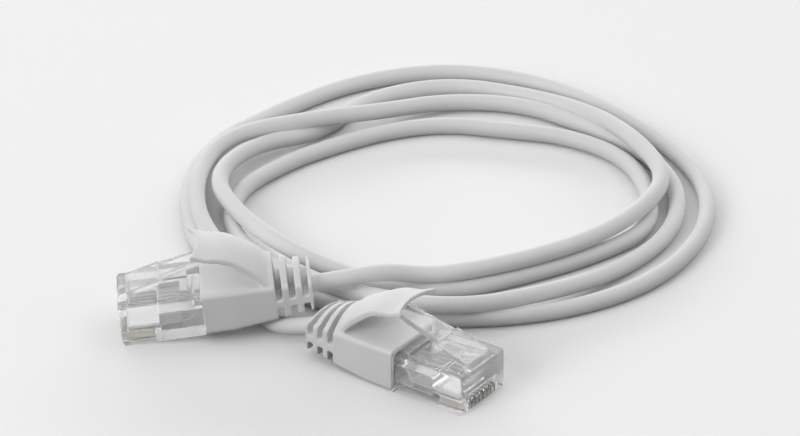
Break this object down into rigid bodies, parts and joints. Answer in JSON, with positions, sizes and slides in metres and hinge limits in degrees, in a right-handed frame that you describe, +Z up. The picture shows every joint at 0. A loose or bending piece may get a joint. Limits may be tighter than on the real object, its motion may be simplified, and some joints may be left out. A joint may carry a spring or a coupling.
{
  "type": "network patch cable",
  "caption": "Slim round network patch cord laid in a loose oval coil, with a clear modular plug and a moulded snagless boot on each end.",
  "frame": {"origin": "on the floor, under the middle of the box that holds the two plugs and their boots", "axes": "+Z up from the floor; +X along the pair of plugs, from the plug with the raised tail towards the flat one; +Y from the plugs towards the coil"},
  "size_m": [0.0977, 0.1141, 0.0154],
  "materials": {
    "jacket": "satin white PVC",
    "boot": "soft moulded white PVC",
    "clear_housing": "clear polished polycarbonate",
    "contact": "gold-plated phosphor bronze",
    "wire": "neutral insulation"
  },
  "bodies": {
    "root": {"cable_coil": "jacket", "cable_lead_a": "jacket", "cable_lead_b": "jacket", "plug_a_boot": "boot", "plug_a_contact_1": "contact", "plug_a_contact_2": "contact", "plug_a_contact_3": "contact", "plug_a_contact_4": "contact", "plug_a_contact_5": "contact", "plug_a_contact_6": "contact", "plug_a_contact_7": "contact", "plug_a_contact_8": "contact", "plug_a_housing": "clear_housing", "plug_a_jacket_end": "jacket", "plug_a_load_bar": "clear_housing", "plug_a_wire_1": "wire", "plug_a_wire_2": "wire", "plug_a_wire_3": "wire", "plug_a_wire_4": "wire", "plug_a_wire_5": "wire", "plug_a_wire_6": "wire", "plug_a_wire_7": "wire", "plug_a_wire_8": "wire", "plug_b_boot": "boot", "plug_b_contact_1": "contact", "plug_b_contact_2": "contact", "plug_b_contact_3": "contact", "plug_b_contact_4": "contact", "plug_b_contact_5": "contact", "plug_b_contact_6": "contact", "plug_b_contact_7": "contact", "plug_b_contact_8": "contact", "plug_b_housing": "clear_housing", "plug_b_jacket_end": "jacket", "plug_b_load_bar": "clear_housing", "plug_b_wire_1": "wire", "plug_b_wire_2": "wire", "plug_b_wire_3": "wire", "plug_b_wire_4": "wire", "plug_b_wire_5": "wire", "plug_b_wire_6": "wire", "plug_b_wire_7": "wire", "plug_b_wire_8": "wire"}
  },
  "joints": []
}
